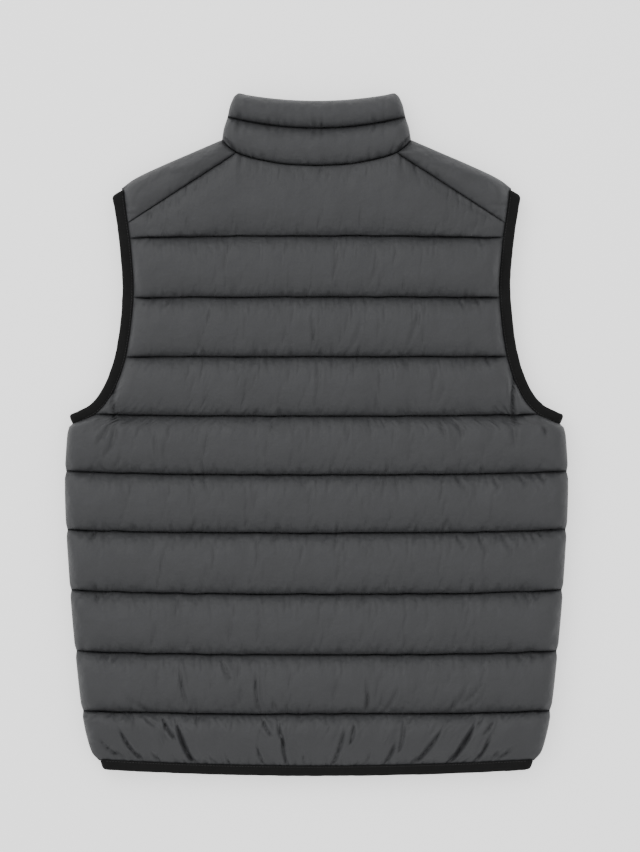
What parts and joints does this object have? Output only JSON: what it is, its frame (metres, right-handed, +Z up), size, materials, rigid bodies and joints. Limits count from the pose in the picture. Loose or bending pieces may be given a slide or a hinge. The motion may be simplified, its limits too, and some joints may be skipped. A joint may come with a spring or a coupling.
{
  "type": "quilted vest",
  "caption": "Sleeveless quilted vest with a stand collar, bound armholes and hem and a front zip, lying flat on its front with its back up.",
  "frame": {"origin": "bottom centre of the vest's box, on the surface that it lies on", "axes": "+X across the vest to the right of someone looking down on its back, +Y along the centre back from the hem to the collar, +Z up"},
  "size_m": [0.5594, 0.7585, 0.0369],
  "materials": {
    "shell": "dark grey lightweight nylon, smooth with a soft sheen",
    "binding": "black knitted elastic, matt",
    "tape": "black woven tape, matt",
    "zip": "black moulded plastic, satin",
    "metal": "black enamel, satin"
  },
  "bodies": {
    "vest": {"back": "shell", "front_left": "shell", "front_right": "shell", "collar": "shell", "armhole_binding_left": "binding", "armhole_binding_right": "binding", "hem_binding": "binding", "zip_tape_left": "tape", "zip_tape_right": "tape", "zip_chain": "zip", "zip_box": "zip", "zip_slider": "metal"},
    "pull": {"zip_pull": "metal"}
  },
  "joints": [
    {"name": "zip_pull_hinge", "type": "hinge", "parent": "vest", "child": "pull", "pos_m": [0, 0.31165, 0.00775], "axis": [1, 0, 0], "range_deg": [0, 165]}
  ]
}
